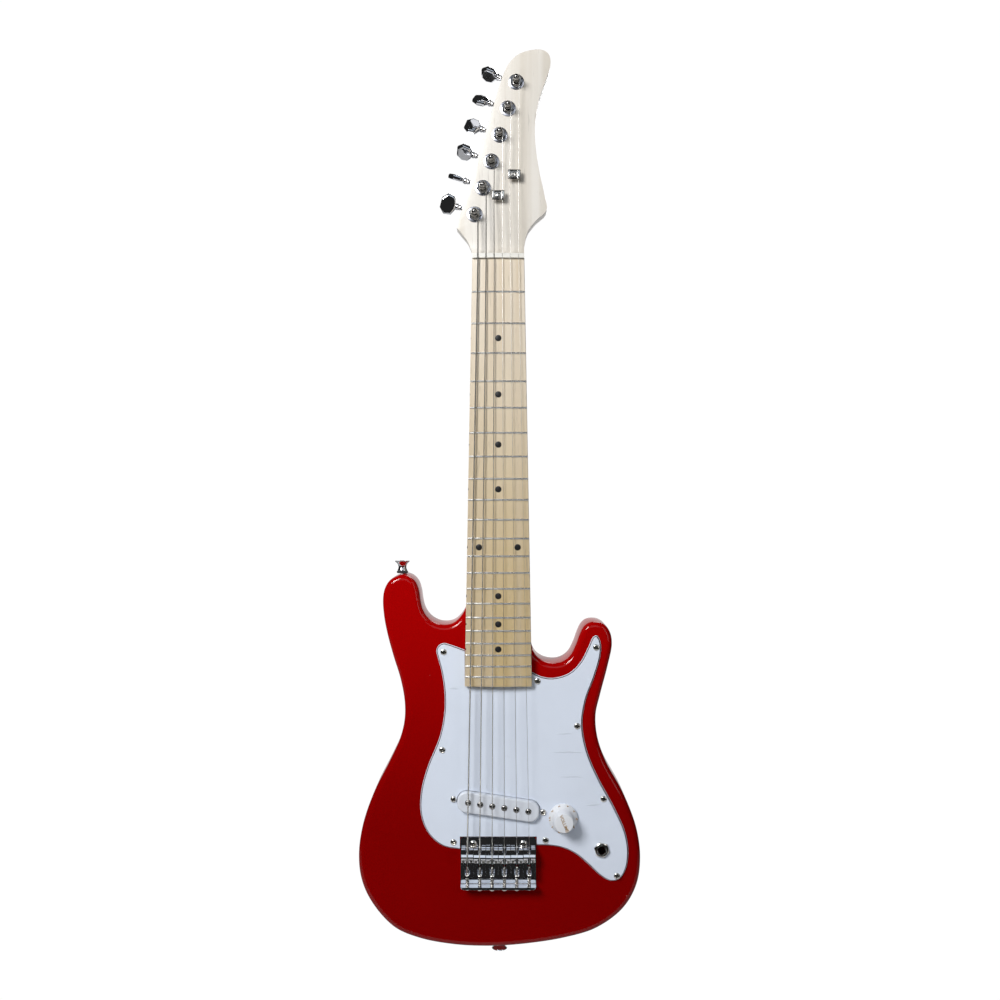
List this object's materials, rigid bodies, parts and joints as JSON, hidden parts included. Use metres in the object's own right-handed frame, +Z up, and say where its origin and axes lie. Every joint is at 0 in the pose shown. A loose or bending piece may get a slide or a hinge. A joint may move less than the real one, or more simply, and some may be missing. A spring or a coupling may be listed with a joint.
{
  "type": "toy electric guitar",
  "caption": "Small solid-body electric guitar with two cutaways, bolt-on maple neck, white pickguard, slanted pickup, volume knob, front jack and hardtail bridge.",
  "frame": {"origin": "on the neck's centreline at the nut's body-side face, in the plane of the body's front; a hanger's yoke holds the neck there, under the headstock", "axes": "+Z up the neck towards the headstock, +Y towards the back, strings on the -Y side, +X towards the treble side"},
  "size_m": [0.2438, 0.0584, 0.7832],
  "materials": {
    "red_lacquer": "solid wood under a deep red gloss lacquer",
    "maple_neck": "pale maple, satin clear finish",
    "maple_fretboard": "maple with a warmer satin clear finish and nickel frets",
    "bone_plastic": "bone white",
    "white_plastic": "white, lightly scuffed",
    "knob_plastic": "white with gold numerals",
    "chrome": "polished",
    "nickel": "nickel plated",
    "string_steel": "plain and wound steel",
    "dark_steel": "dull",
    "black_felt": "felt"
  },
  "bodies": {
    "guitar": {"body": "red_lacquer", "neck": "maple_neck", "fretboard_with_frets": "maple_fretboard", "nut": "bone_plastic", "neck_plate": "chrome", "pickguard": "white_plastic", "volume_pot": "nickel", "volume_pot_nut": "nickel", "output_jack": "nickel", "jack_nut": "nickel", "bridge_plate": "chrome", "string_tree_1": "nickel", "string_tree_2": "nickel", "strap_felt": "black_felt", "strap_button_horn": "chrome", "strap_button_tail": "chrome", "tuner_housing_1": "chrome", "string_1": "string_steel", "tuner_housing_2": "chrome", "string_2": "string_steel", "tuner_housing_3": "chrome", "string_3": "string_steel", "tuner_housing_4": "chrome", "string_4": "string_steel", "tuner_housing_5": "chrome", "string_5": "string_steel", "tuner_housing_6": "chrome", "string_6": "string_steel"},
    "tuner_button_1": {"tuner_button_1": "chrome"},
    "tuner_post_1": {"tuner_post_1": "chrome"},
    "tuner_button_2": {"tuner_button_2": "chrome"},
    "tuner_post_2": {"tuner_post_2": "chrome"},
    "tuner_button_3": {"tuner_button_3": "chrome"},
    "tuner_post_3": {"tuner_post_3": "chrome"},
    "tuner_button_4": {"tuner_button_4": "chrome"},
    "tuner_post_4": {"tuner_post_4": "chrome"},
    "tuner_button_5": {"tuner_button_5": "chrome"},
    "tuner_post_5": {"tuner_post_5": "chrome"},
    "tuner_button_6": {"tuner_button_6": "chrome"},
    "tuner_post_6": {"tuner_post_6": "chrome"},
    "saddle_1": {"saddle_1": "chrome"},
    "intonation_screw_1": {"intonation_screw_1": "nickel"},
    "saddle_2": {"saddle_2": "chrome"},
    "intonation_screw_2": {"intonation_screw_2": "nickel"},
    "saddle_3": {"saddle_3": "chrome"},
    "intonation_screw_3": {"intonation_screw_3": "nickel"},
    "saddle_4": {"saddle_4": "chrome"},
    "intonation_screw_4": {"intonation_screw_4": "nickel"},
    "saddle_5": {"saddle_5": "chrome"},
    "intonation_screw_5": {"intonation_screw_5": "nickel"},
    "saddle_6": {"saddle_6": "chrome"},
    "intonation_screw_6": {"intonation_screw_6": "nickel"},
    "volume_knob": {"volume_knob": "knob_plastic", "volume_shaft": "nickel"},
    "pickup": {"pickup_cover": "white_plastic", "pickup_bobbin": "dark_steel"},
    "pickup_height_screw_1": {"pickup_height_screw_1": "nickel"},
    "pickup_height_screw_2": {"pickup_height_screw_2": "nickel"},
    "jack_tip_contact": {"jack_tip_contact": "nickel"}
  },
  "joints": [
    {"name": "tuner_button_1_turn", "type": "hinge", "parent": "guitar", "child": "tuner_button_1", "pos_m": [-0.01828, 0.0166, 0.0461], "axis": [-0.9573, 0, 0.289], "continuous": true},
    {"name": "tuner_post_1_turn", "type": "hinge", "parent": "guitar", "child": "tuner_post_1", "pos_m": [-0.0203, 0, 0.0394], "axis": [0, -1, 0], "continuous": true},
    {"name": "tuner_button_2_turn", "type": "hinge", "parent": "guitar", "child": "tuner_button_2", "pos_m": [-0.01116, 0.0166, 0.06888], "axis": [-0.9573, 0, 0.289], "continuous": true},
    {"name": "tuner_post_2_turn", "type": "hinge", "parent": "guitar", "child": "tuner_post_2", "pos_m": [-0.01318, 0, 0.06218], "axis": [0, -1, 0], "continuous": true},
    {"name": "tuner_button_3_turn", "type": "hinge", "parent": "guitar", "child": "tuner_button_3", "pos_m": [-0.00404, 0.0166, 0.09166], "axis": [-0.9573, 0, 0.289], "continuous": true},
    {"name": "tuner_post_3_turn", "type": "hinge", "parent": "guitar", "child": "tuner_post_3", "pos_m": [-0.00606, 0, 0.08496], "axis": [0, -1, 0], "continuous": true},
    {"name": "tuner_button_4_turn", "type": "hinge", "parent": "guitar", "child": "tuner_button_4", "pos_m": [0.00308, 0.0166, 0.11444], "axis": [-0.9573, 0, 0.289], "continuous": true},
    {"name": "tuner_post_4_turn", "type": "hinge", "parent": "guitar", "child": "tuner_post_4", "pos_m": [0.00106, 0, 0.10774], "axis": [0, -1, 0], "continuous": true},
    {"name": "tuner_button_5_turn", "type": "hinge", "parent": "guitar", "child": "tuner_button_5", "pos_m": [0.0102, 0.0166, 0.13722], "axis": [-0.9573, 0, 0.289], "continuous": true},
    {"name": "tuner_post_5_turn", "type": "hinge", "parent": "guitar", "child": "tuner_post_5", "pos_m": [0.00818, 0, 0.13052], "axis": [0, -1, 0], "continuous": true},
    {"name": "tuner_button_6_turn", "type": "hinge", "parent": "guitar", "child": "tuner_button_6", "pos_m": [0.01732, 0.0166, 0.16], "axis": [-0.9573, 0, 0.289], "continuous": true},
    {"name": "tuner_post_6_turn", "type": "hinge", "parent": "guitar", "child": "tuner_post_6", "pos_m": [0.0153, 0, 0.1533], "axis": [0, -1, 0], "continuous": true},
    {"name": "intonation_screw_1_turn", "type": "hinge", "parent": "guitar", "child": "intonation_screw_1", "pos_m": [-0.0265, -0.00504, -0.538], "axis": [0, 0, -1], "range_deg": [-720, 4320]},
    {"name": "saddle_1_slide", "type": "slide", "parent": "guitar", "child": "saddle_1", "axis": [0, 0, 1], "range_m": [-0.001, 0.006]},
    {"name": "intonation_screw_2_turn", "type": "hinge", "parent": "guitar", "child": "intonation_screw_2", "pos_m": [-0.0159, -0.00598, -0.538], "axis": [0, 0, -1], "range_deg": [-720, 4320]},
    {"name": "saddle_2_slide", "type": "slide", "parent": "guitar", "child": "saddle_2", "axis": [0, 0, 1], "range_m": [-0.001, 0.006]},
    {"name": "intonation_screw_3_turn", "type": "hinge", "parent": "guitar", "child": "intonation_screw_3", "pos_m": [-0.0053, -0.00644, -0.538], "axis": [0, 0, -1], "range_deg": [-720, 4320]},
    {"name": "saddle_3_slide", "type": "slide", "parent": "guitar", "child": "saddle_3", "axis": [0, 0, 1], "range_m": [-0.001, 0.006]},
    {"name": "intonation_screw_4_turn", "type": "hinge", "parent": "guitar", "child": "intonation_screw_4", "pos_m": [0.0053, -0.00644, -0.538], "axis": [0, 0, -1], "range_deg": [-720, 4320]},
    {"name": "saddle_4_slide", "type": "slide", "parent": "guitar", "child": "saddle_4", "axis": [0, 0, 1], "range_m": [-0.001, 0.006]},
    {"name": "intonation_screw_5_turn", "type": "hinge", "parent": "guitar", "child": "intonation_screw_5", "pos_m": [0.0159, -0.00598, -0.538], "axis": [0, 0, -1], "range_deg": [-720, 4320]},
    {"name": "saddle_5_slide", "type": "slide", "parent": "guitar", "child": "saddle_5", "axis": [0, 0, 1], "range_m": [-0.001, 0.006]},
    {"name": "intonation_screw_6_turn", "type": "hinge", "parent": "guitar", "child": "intonation_screw_6", "pos_m": [0.0265, -0.00504, -0.538], "axis": [0, 0, -1], "range_deg": [-720, 4320]},
    {"name": "saddle_6_slide", "type": "slide", "parent": "guitar", "child": "saddle_6", "axis": [0, 0, 1], "range_m": [-0.001, 0.006]},
    {"name": "volume_knob_turn", "type": "hinge", "parent": "guitar", "child": "volume_knob", "pos_m": [0.0555, 0, -0.4792], "axis": [0, -1, 0], "range_deg": [-90, 190]},
    {"name": "pickup_height_screw_1_turn", "type": "hinge", "parent": "guitar", "child": "pickup_height_screw_1", "pos_m": [-0.03849, 0, -0.46329], "axis": [0, 1, 0], "range_deg": [-450, 1350]},
    {"name": "pickup_height_screw_2_turn", "type": "hinge", "parent": "guitar", "child": "pickup_height_screw_2", "pos_m": [0.03849, 0, -0.47452], "axis": [0, 1, 0], "range_deg": [-450, 1350]},
    {"name": "pickup_height_slide", "type": "slide", "parent": "guitar", "child": "pickup", "axis": [0, -1, 0], "range_m": [-0.001, 0.003]},
    {"name": "jack_tip_flex", "type": "hinge", "parent": "guitar", "child": "jack_tip_contact", "pos_m": [0.0816, 0.0034, -0.5064], "axis": [0, 0, 1], "range_deg": [0, 8], "stiffness_Nm_per_rad": 0.05}
  ],
  "couplings": [
    {"joint": "tuner_post_1_turn", "follows": "tuner_button_1_turn", "ratio": 0.066667},
    {"joint": "tuner_post_2_turn", "follows": "tuner_button_2_turn", "ratio": 0.066667},
    {"joint": "tuner_post_3_turn", "follows": "tuner_button_3_turn", "ratio": 0.066667},
    {"joint": "tuner_post_4_turn", "follows": "tuner_button_4_turn", "ratio": 0.066667},
    {"joint": "tuner_post_5_turn", "follows": "tuner_button_5_turn", "ratio": 0.066667},
    {"joint": "tuner_post_6_turn", "follows": "tuner_button_6_turn", "ratio": 0.066667},
    {"joint": "saddle_1_slide", "follows": "intonation_screw_1_turn", "m_per_rad": 0.000079577},
    {"joint": "saddle_2_slide", "follows": "intonation_screw_2_turn", "m_per_rad": 0.000079577},
    {"joint": "saddle_3_slide", "follows": "intonation_screw_3_turn", "m_per_rad": 0.000079577},
    {"joint": "saddle_4_slide", "follows": "intonation_screw_4_turn", "m_per_rad": 0.000079577},
    {"joint": "saddle_5_slide", "follows": "intonation_screw_5_turn", "m_per_rad": 0.000079577},
    {"joint": "saddle_6_slide", "follows": "intonation_screw_6_turn", "m_per_rad": 0.000079577},
    {"joint": "pickup_height_slide", "follows": "pickup_height_screw_1_turn", "m_per_rad": 0.00012732},
    {"joint": "pickup_height_screw_2_turn", "follows": "pickup_height_screw_1_turn", "ratio": 1}
  ]
}
